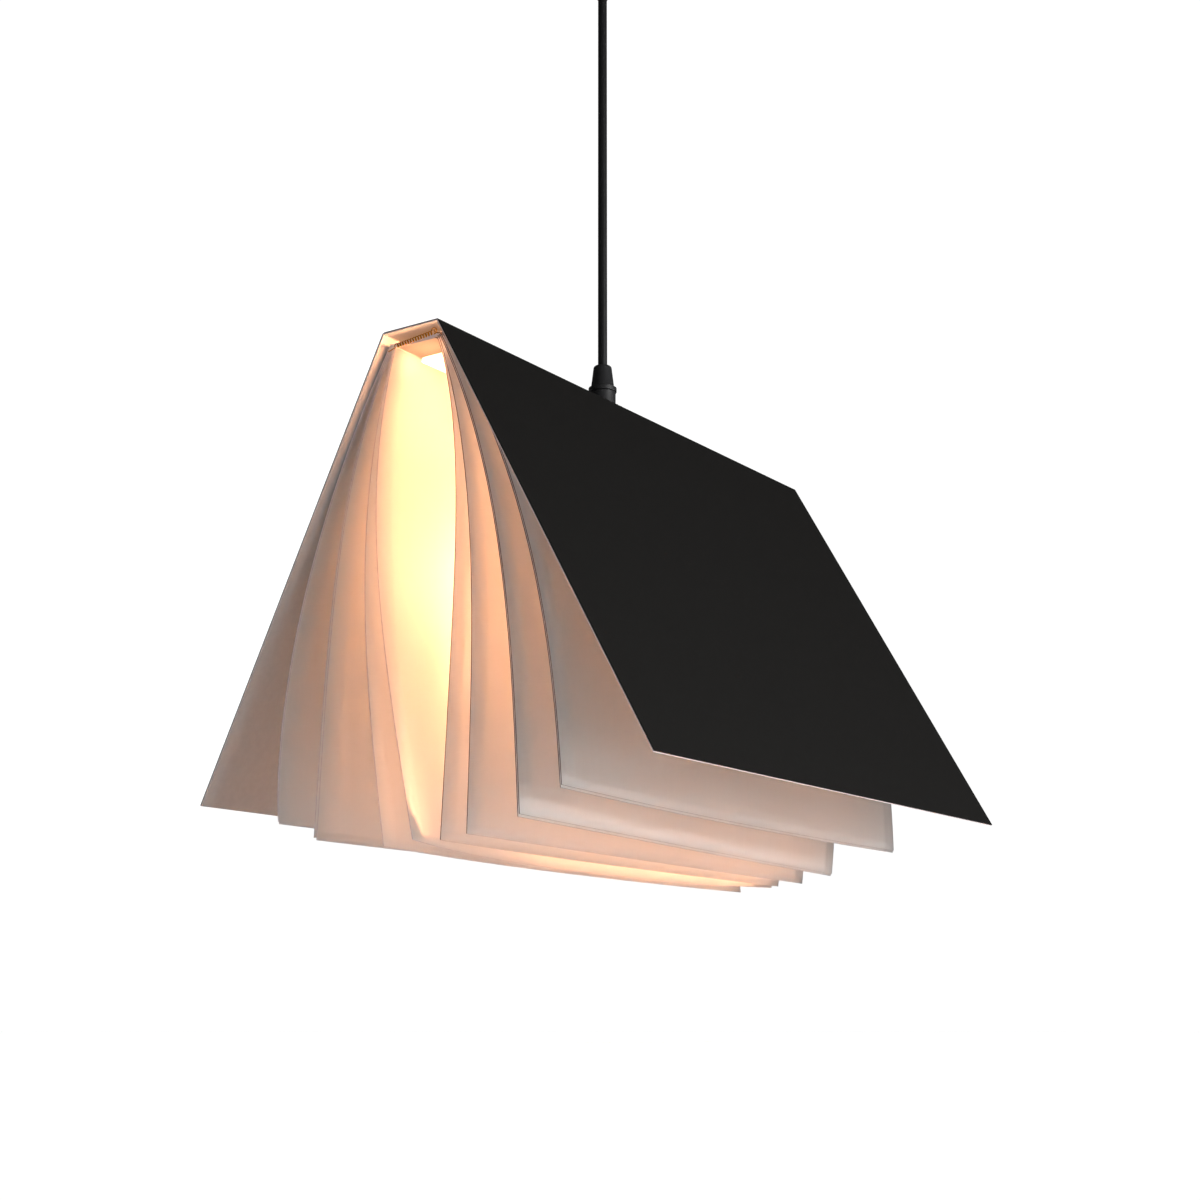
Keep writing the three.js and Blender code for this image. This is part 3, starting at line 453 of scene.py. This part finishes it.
def joined_mesh(node):
    """A copy of a node's mesh with its loose triangles joined."""
    bm = bmesh.new()
    bm.from_mesh(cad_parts[node].data)
    bmesh.ops.remove_doubles(bm, verts=bm.verts, dist=MERGE_DISTANCE)
    return bm


def refined(node, material, body, slot):
    """A copy of a machined or moulded piece of the frame, with its edges eased."""
    bm = joined_mesh(node)
    bmesh.ops.dissolve_limit(
        bm, angle_limit=FLAT_ANGLE, verts=bm.verts, edges=bm.edges, delimit=set()
    )
    bevelled(piece(f"{node}_finished", bm, [material], body, [node]), EDGE_WIDTH)


def respun(node, material, body, slot):
    """A turned piece of the frame, spun again from its own profile in finer steps."""
    bm = joined_mesh(node)
    low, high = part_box(node)
    middle = Vector(((low.x + high.x) / 2, (low.y + high.y) / 2, 0))

    def reach(vertex):
        return Vector((vertex.co.x - middle.x, vertex.co.y - middle.y))

    outward = reach(max(bm.verts, key=lambda vertex: reach(vertex).length)).normalized()
    spare = [
        v for v in bm.verts if (reach(v) - outward * reach(v).length).length > PROFILE_TOLERANCE
    ]
    bmesh.ops.delete(bm, geom=spare, context="VERTS")
    bmesh.ops.delete(bm, geom=list(bm.faces), context="FACES_ONLY")
    bmesh.ops.spin(
        bm, geom=list(bm.verts) + list(bm.edges), cent=middle, axis=(0, 0, 1), angle=TURN,
        steps=TURNED_STEPS, use_merge=True,
    )
    bmesh.ops.remove_doubles(bm, verts=bm.verts, dist=MERGE_DISTANCE)
    bmesh.ops.recalc_face_normals(bm, faces=bm.faces)
    bevelled(piece(f"{node}_turned", bm, [material], body, [node]), EDGE_WIDTH)


def pull(bm, way):
    """Gives an open sheet its other side, a vector away, and the walls between."""
    pulled = bmesh.ops.extrude_face_region(bm, geom=list(bm.faces))
    far = [item for item in pulled["geom"] if isinstance(item, bmesh.types.BMVert)]
    bmesh.ops.translate(bm, verts=far, vec=way)


def holed_slab(low_x, high_x, front, back, height, thickness):
    """A flat sheet upwards from a height, with the hole for the holder's neck."""
    bm = bmesh.new()
    corners = [(low_x, front), (high_x, front), (high_x, back), (low_x, back)]
    spots = [bm.verts.new((x, y, height)) for x, y in corners]
    edges = [bm.edges.new((a, b)) for a, b in zip(spots, spots[1:] + spots[:1])]
    circle = bmesh.ops.create_circle(
        bm, segments=HOLE_STEPS, radius=NECK_HOLE_RADIUS, matrix=Matrix.Translation((0, 0, height))
    )
    edges += dict.fromkeys(edge for vertex in circle["verts"] for edge in vertex.link_edges)
    bmesh.ops.triangle_fill(bm, use_beauty=True, edges=edges)
    pull(bm, (0, 0, thickness))
    return bm


# Cover: its materials are black outside, pale inside and the cut edge

OUTSIDE, INSIDE, RIM = 0, 1, 2


def fold_lines(lean, radius):
    """Where one side's fold starts, and the side's outer and inner lines from there to the flap's
    end."""
    bend = QUARTER - lean
    start = SPINE_HALF - radius * math.tan(bend / 2)
    angles = [bend * i / FOLD_STEPS for i in range(FOLD_STEPS + 1)]

    def arc(reach):
        return [
            Vector((start + reach * math.sin(a), -radius + reach * math.cos(a))) for a in angles
        ]

    inward = Vector((-math.cos(lean), -math.sin(lean)))
    end = Vector((SPINE_HALF + COVER_FLAP * math.sin(lean), -COVER_FLAP * math.cos(lean)))
    outer = arc(radius) + [end]
    inner = arc(radius - COVER_SHEET) + [end + COVER_SHEET * inward]
    return start, outer, inner


def layered_sheet(name, outer, inner, side, nodes):
    """The cover's sheet between two lines in X and Z, with its two layers."""
    bm = bmesh.new()
    layer = bm.verts.layers.float.new("layer")
    lines = [(0.0, outer), (0.5, [(a + b) / 2 for a, b in zip(outer, inner)]), (1.0, inner)]
    rows = []
    for depth, line in lines:
        row = [bm.verts.new((side * p.x, COVER_FRONT, SPINE_TOP + p.y)) for p in line]
        for vertex in row:
            vertex[layer] = depth
        rows.append(row)
    for upper, lower in zip(rows, rows[1:]):
        for a, b, c, d in zip(upper, upper[1:], lower[1:], lower):
            bm.faces.new((a, b, c, d))
    pull(bm, (0, COVER_BACK - COVER_FRONT, 0))
    bmesh.ops.recalc_face_normals(bm, faces=bm.faces)
    for face in bm.faces:
        depth = sum(vertex[layer] for vertex in face.verts) / len(face.verts)
        face.material_index = OUTSIDE if depth < 0.5 else (INSIDE if depth == 1 else RIM)
    made = piece(name, bm, [cover_black, cover_pale, cover_rim], None, nodes)
    return bevelled(made, COVER_EDGE_WIDTH)


def cover():
    starts = {}
    for word, side, lean, radius in (
        ("right", 1, RIGHT_LEAN, RIGHT_FOLD_RADIUS),
        ("left", -1, LEFT_LEAN, LEFT_FOLD_RADIUS),
    ):
        starts[word], outer, inner = fold_lines(lean, radius)
        name = f"cover_{word}_folded"
        flap = layered_sheet(name, outer, inner, side, [f"cover_flap_{word}"])
        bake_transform(flap)
    bm = holed_slab(
        -starts["left"], starts["right"], COVER_FRONT, COVER_BACK, SPINE_TOP - COVER_SHEET,
        COVER_SHEET,
    )
    bmesh.ops.bisect_plane(
        bm, geom=list(bm.verts) + list(bm.edges) + list(bm.faces),
        plane_co=(0, 0, SPINE_TOP - COVER_SHEET / 2), plane_no=(0, 0, 1),
    )
    bmesh.ops.recalc_face_normals(bm, faces=bm.faces)
    for face in bm.faces:
        height = (face.calc_center_median().z - SPINE_TOP) / COVER_SHEET
        face.material_index = OUTSIDE if height > -0.5 else (INSIDE if height < -0.9 else RIM)
    materials = [cover_black, cover_pale, cover_rim]
    made = piece("cover_spine_sheet", bm, materials, "lamp", ["cover_spine"])
    bevelled(made, COVER_EDGE_WIDTH)


# Pages

def tip_angle(tips, across):
    """The angle from the vertical where a leaf ends, at a share of its depth from front to back."""
    front, middle, back = tips
    return (
        front * (1 - across) * (1 - 2 * across)
        + middle * 4 * across * (1 - across)
        + back * across * (2 * across - 1)
    )


def leaf_line(leaf, radius, across):
    """The middle line of a leaf from its crease's start on the strip to its free end, at a share
    of its depth, as points out from the crease's corner and up."""
    root = math.radians(leaf["root"])
    tip = math.radians(tip_angle(leaf["tips"], across))
    length = PAGE_LEAF * leaf["length_share"]
    bend = QUARTER - root
    setback = radius * math.tan(bend / 2)
    line = []
    for i in range(CREASE_STEPS):
        angle = bend * i / CREASE_STEPS
        line.append((-setback + radius * math.sin(angle), -radius + radius * math.cos(angle)))
    x = setback * math.sin(root)
    z = -setback * math.cos(root)
    line.append((x, z))
    step = (length - setback) / (LEAF_ROWS * ROW_PARTS)
    for row in range(LEAF_ROWS):
        for part in range(ROW_PARTS):
            share = (setback + step * (row * ROW_PARTS + part + 0.5)) / length
            lean = tip + (root - tip) * (1 - share) ** leaf["fade"]
            x += step * math.sin(lean)
            z -= step * math.cos(lean)
        line.append((x, z))
    return line


def leaf(index, word, side):
    """One leaf, running from its strip round the crease to its free end. Gives back where the crease
    starts, and the strip's middle height."""
    shape = (RIGHT_LEAVES if side > 0 else LEFT_LEAVES)[index]
    radius = INNER_CREASE_RADIUS if index == 0 and side > 0 else CREASE_RADIUS
    low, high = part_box(f"page_strip_{index + 1}")
    crease = high.x + CREASE_GAP / 2
    height = (low.z + high.z) / 2
    rows = CREASE_STEPS + LEAF_ROWS
    lines = [leaf_line(shape, radius, j / LEAF_COLUMNS) for j in range(LEAF_COLUMNS + 1)]
    bm = bmesh.new()
    bmesh.ops.create_grid(bm, x_segments=rows, y_segments=LEAF_COLUMNS, size=0.5)
    for vertex in bm.verts:
        down = round((vertex.co.x + 0.5) * rows)
        across = round((vertex.co.y + 0.5) * LEAF_COLUMNS)
        x, z = lines[across][down]
        depth = PAGE_FRONT + (PAGE_BACK - PAGE_FRONT) * across / LEAF_COLUMNS
        vertex.co = (side * (crease + x), depth, height + z)
    name = f"leaf_{word}_{index + 1}_sheet"
    # The right-hand leaves' cut edges get the darker rim, which is painted shade
    rim = page_rim_painted_shade if side > 0 else page_rim
    made = piece(name, bm, [page_frost, rim], None, [f"leaf_{word}_{index + 1}"])
    setback = radius * math.tan((QUARTER - math.radians(shape["root"])) / 2)
    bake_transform(made)
    thickness = made.modifiers.new("thickness", "SOLIDIFY")
    thickness.thickness = PAGE_SHEET
    thickness.offset = 0
    thickness.material_offset_rim = 1
    return crease - setback, height


def pages():
    for index in range(len(RIGHT_LEAVES)):
        right_start, height = leaf(index, "right", 1)
        left_start, height = leaf(index, "left", -1)
        bm = holed_slab(
            -left_start, right_start, PAGE_FRONT, PAGE_BACK, height - PAGE_SHEET / 2, PAGE_SHEET
        )
        bmesh.ops.recalc_face_normals(bm, faces=bm.faces)
        for face in bm.faces:
            face.material_index = 0 if abs(face.normal.z) > 0.5 else 1
        node = f"page_strip_{index + 1}"
        piece(f"{node}_sheet", bm, [page_frost, page_rim], "lamp", [node])


# Binding springs

def wire_along(name, points, body, nodes):
    """A round brass wire that passes smoothly through points."""
    curve = round_curve(name, SPRING_WIRE, WIRE_SMOOTHNESS, brass)
    curve.resolution_u = WIRE_SMOOTHNESS
    line = curve.splines.new("BEZIER")
    line.bezier_points.add(len(points) - 1)
    for spot, place in zip(line.bezier_points, points):
        spot.co = place
        spot.handle_left_type = "AUTO"
        spot.handle_right_type = "AUTO"
    made = placed(name, curve)
    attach(made, body)
    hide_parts(*nodes)


def springs():
    middle = (strip_low.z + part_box("page_strip_6")[1].z) / 2
    coil_length = SPRING_CURLS * SPRING_PITCH

    def axis(x):
        return middle + SPRING_RISE * ((x - SPRING_START) / coil_length - 0.5)

    coil = []
    for i in range(SPRING_CURLS * CURL_STEPS + 1):
        angle = TURN * i / CURL_STEPS
        x = SPRING_START + SPRING_PITCH * i / CURL_STEPS
        up = axis(x) - SPRING_COIL_RADIUS * math.cos(angle)
        coil.append((x, -SPRING_COIL_RADIUS * math.sin(angle), up))
    coil_end = SPRING_START + coil_length
    ring_x = coil_end + SPRING_RING_RADIUS
    ring_z = axis(coil_end) - SPRING_COIL_RADIUS + SPRING_RING_RADIUS
    ring = []
    for i in range(1, RING_STEPS_MADE + 1):
        angle = math.pi - TURN * i / RING_STEPS
        across = SPRING_RING_RADIUS * math.cos(angle)
        ring.append((ring_x + across, 0, ring_z + SPRING_RING_RADIUS * math.sin(angle)))
    low = axis(SPRING_START) - SPRING_COIL_RADIUS
    hook = [
        (-OUTER_CREASE, 0, low - 2 * SPRING_WIRE),
        (SPRING_START - 3 * SPRING_WIRE, 0, low - SPRING_WIRE / 2),
        (SPRING_START - SPRING_WIRE, 0, low),
    ]
    link = [
        (ring_x + across * SPRING_RING_RADIUS, out * LINK_ROOM, ring_z + up * SPRING_RING_RADIUS)
        for across, out, up in LINK_PLACES
    ] + [
        (OUTER_CREASE + across * SPRING_WIRE, 0, ring_z - down * SPRING_RING_RADIUS)
        for across, down in LINK_ENDS
    ]
    for word, end in (("front", -1), ("rear", 1)):
        for node, line in ((f"spring_{word}", hook + coil + ring), (f"spring_link_{word}", link)):
            points = [(x, BOOK_MIDDLE + end * (SPRING_PLACE - out), z) for x, out, z in line]
            wire_along(f"{node}_wire", points, "lamp", [node])


# Pieces that keep the frame's shape, with finer rounds and eased edges

def hard_pieces():
    for make, node, material, body, slot in (
        (refined, "lock_nut", black_nylon, "lamp", "black_plastic"),
        (respun, "cord_grip_cone", black_nylon, "lamp", "black_plastic"),
        (respun, "holder_cap", black_nylon, "lamp", "black_plastic"),
        (refined, "holder_sleeve", black_nylon, "lamp", "black_plastic"),
        (refined, "holder_insert", ceramic, "lamp", "cream_ceramic"),
        (respun, "holder_thread", brass, "lamp", "brass"),
        (refined, "holder_contact", brass, "lamp", "brass"),
        (refined, "support_plate", white_enamel, "lamp", "white_plate"),
        (respun, "spacer_ring", white_enamel, "lamp", "white_plate"),
        (respun, "lamp_cord_tail", cord_rubber, "lamp", "black_rubber"),
        (respun, "bulb_cap", nickel, "bulb", "bulb_metal"),
        (respun, "bulb_tip", nickel, "bulb", "bulb_metal"),
        (respun, "bulb_insulator", black_glass, "bulb", "bulb_black"),
        (respun, "bulb_globe", opal_glass, "bulb", "opal_glass"),
        (refined, "ceiling_bracket", zinc, "ceiling_fitting", "zinc_steel"),
        (refined, "canopy_cup", powder_coat, "ceiling_fitting", "black_coat"),
        (refined, "canopy_screw_right", zinc, "ceiling_fitting", "zinc_steel"),
        (refined, "canopy_screw_left", zinc, "ceiling_fitting", "zinc_steel"),
        (refined, "terminal_block", ceramic, "ceiling_fitting", "cream_ceramic"),
        (refined, "canopy_core_brown", brown_pvc, "ceiling_fitting", "brown_core"),
        (refined, "canopy_core_blue", blue_pvc, "ceiling_fitting", "blue_core"),
        (respun, "canopy_grip", black_nylon, "ceiling_fitting", "black_plastic"),
        (refined, "canopy_grip_nut", black_nylon, "ceiling_fitting", "black_plastic"),
        (respun, "canopy_cord_tail", cord_rubber, "ceiling_fitting", "black_rubber"),
        (respun, "cord_boot", cord_rubber, "boot", "black_rubber"),
    ):
        make(node, material, body, slot)


# Room

def floor():
    """A matt pale floor that glows, to the camera alone. It casts no shadow, because two of the soft
    boxes stand below it."""
    bm = bmesh.new()
    bmesh.ops.create_grid(bm, x_segments=1, y_segments=1, size=FLOOR_REACH)
    bmesh.ops.translate(bm, verts=bm.verts, vec=(0, 0, FLOOR_HEIGHT))
    mesh = bpy.data.meshes.new("floor")
    bm.to_mesh(mesh)
    bm.free()
    ground = placed("floor", mesh)
    material, tree = blank_material("pale_floor")
    seen = add_node(tree, "ShaderNodeLightPath").outputs["Is Camera Ray"]
    glow = add_node(tree, "ShaderNodeMath", {"operation": "MULTIPLY"})
    tree.links.new(seen, glow.inputs[0])
    glow.inputs[1].default_value = FLOOR_GLOW
    shader = add_node(
        tree, "ShaderNodeBsdfPrincipled",
        sockets={
            "Base Color": FLOOR_GREY, "Roughness": 1, "Specular IOR Level": 0,
            "Emission Color": WHITE, "Emission Strength": glow.outputs["Value"],
        },
    )
    show(tree, shader.outputs["BSDF"])
    mesh.materials.append(material)
    ground.visible_shadow = False


def sky():
    """White behind the picture, and a faint white light from all sides."""
    world = bpy.data.worlds.new("studio")
    bpy.context.scene.world = world
    world.use_nodes = True
    tree = world.node_tree
    tree.nodes.clear()
    seen = add_node(tree, "ShaderNodeBackground", sockets={"Color": WHITE, "Strength": SKY_SEEN})
    lit = add_node(tree, "ShaderNodeBackground", sockets={"Color": WHITE, "Strength": SKY_STRENGTH})
    path = add_node(tree, "ShaderNodeLightPath")
    both = add_node(tree, "ShaderNodeMixShader", sockets={"Fac": path.outputs["Is Camera Ray"]})
    tree.links.new(lit.outputs["Background"], both.inputs[1])
    tree.links.new(seen.outputs["Background"], both.inputs[2])
    add_node(tree, "ShaderNodeOutputWorld", sockets={"Surface": both.outputs["Shader"]})


def panel(name, light, colour):
    """A flat light that shines one way and isn't seen itself. Only white ones show in a sheen."""
    data = bpy.data.lights.new(name, "AREA")
    data.shape = "RECTANGLE"
    data.size, data.size_y = light["size"]
    data.energy = light["power"]
    data.color = colour
    made = placed(name, data)
    turned_to = Vector(light["facing"]).to_track_quat("-Z", "Y").to_matrix().to_4x4()
    made.matrix_world = Matrix.Translation(light["place"]) @ turned_to
    made.visible_camera = False
    made.visible_glossy = colour == WHITE_LIGHT
    return made


def overhead_light():
    """A broad, even light from above."""
    data = bpy.data.lights.new("overhead", "SUN")
    data.energy = OVERHEAD_STRENGTH
    data.angle = OVERHEAD_ANGLE
    placed("overhead", data).visible_glossy = False


def studio():
    """The room's lights, and the glow between the pages, which rides with the lamp."""
    sky()
    overhead_light()
    for number, light in enumerate(SOFT_BOXES, 1):
        panel(f"soft_box_{number}", light, WHITE_LIGHT)
    for number, light in enumerate(PAGE_GLOWS, 1):
        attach(panel(f"page_glow_{number}", light, LAMP_COLOUR), "lamp")
    scene = bpy.context.scene
    scene.view_settings.view_transform = "Standard"
    scene.cycles.max_bounces = LIGHT_BOUNCES
    scene.cycles.diffuse_bounces = LIGHT_BOUNCES
    scene.cycles.transmission_bounces = LIGHT_BOUNCES


cover()
pages()
springs()
hard_pieces()
floor()
studio()
